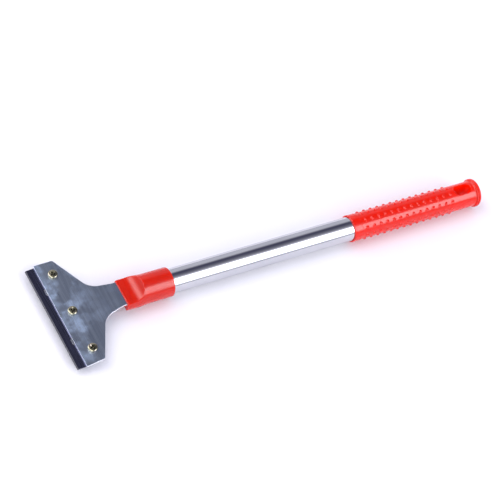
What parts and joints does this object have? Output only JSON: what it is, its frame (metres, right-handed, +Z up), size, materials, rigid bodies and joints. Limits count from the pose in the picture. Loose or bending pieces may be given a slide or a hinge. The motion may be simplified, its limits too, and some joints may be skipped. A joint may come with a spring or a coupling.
{
  "type": "floor scraper",
  "caption": "Hand scraper with a clamped straight blade on a bent trapezoid steel head, a plastic ferrule, a steel tube and a nubbed plastic grip with a hang hole.",
  "frame": {"origin": "centre of the bounding box, at the level of the floor that the ferrule and the end flange lie on", "axes": "+X along the handle from the blade to the grip, +Y along the blade's cutting edge, +Z up, out of the side with the screw heads"},
  "size_m": [0.4118, 0.102, 0.025],
  "materials": {
    "zinc_steel": "bright zinc plated, mottled",
    "blade_steel": "ground, dark",
    "yellow_zinc": "yellow passivated zinc",
    "red_plastic": "moulded, glossy",
    "grey_plastic": "moulded",
    "plain_screw": "zinc plated",
    "polished_tube": "polished"
  },
  "bodies": {
    "handle": {"head_plate": "zinc_steel", "ferrule": "red_plastic", "tang_core": "grey_plastic", "fixing_screw": "plain_screw", "tube": "polished_tube", "grip": "red_plastic"},
    "screw_left": {"screw_left": "yellow_zinc"},
    "screw_middle": {"screw_middle": "yellow_zinc"},
    "screw_right": {"screw_right": "yellow_zinc"},
    "clamp": {"clamp_plate": "zinc_steel", "nut_left": "yellow_zinc", "nut_middle": "yellow_zinc", "nut_right": "yellow_zinc"},
    "blade": {"blade": "blade_steel"}
  },
  "joints": [
    {"name": "screw_middle_turn", "type": "hinge", "parent": "handle", "child": "screw_middle", "pos_m": [-0.18705, 0, 0.00898], "axis": [-0.1357, 0, 0.9907], "range_deg": [0, 1080]},
    {"name": "screw_left_turn", "type": "hinge", "parent": "handle", "child": "screw_left", "pos_m": [-0.18705, -0.0375, 0.00898], "axis": [-0.1357, 0, 0.9907], "range_deg": [0, 1080]},
    {"name": "screw_right_turn", "type": "hinge", "parent": "handle", "child": "screw_right", "pos_m": [-0.18705, 0.0375, 0.00898], "axis": [-0.1357, 0, 0.9907], "range_deg": [0, 1080]},
    {"name": "clamp_drop", "type": "slide", "parent": "handle", "child": "clamp", "axis": [0.1357, 0, -0.9907], "range_m": [0, 0.0021]},
    {"name": "blade_slide", "type": "slide", "parent": "clamp", "child": "blade", "axis": [-0.9907, 0, -0.1357], "range_m": [0, 0.008]}
  ],
  "couplings": [
    {"joint": "screw_middle_turn", "follows": "clamp_drop", "rad_per_m": 8976},
    {"joint": "screw_left_turn", "follows": "clamp_drop", "rad_per_m": 8976},
    {"joint": "screw_right_turn", "follows": "clamp_drop", "rad_per_m": 8976}
  ]
}
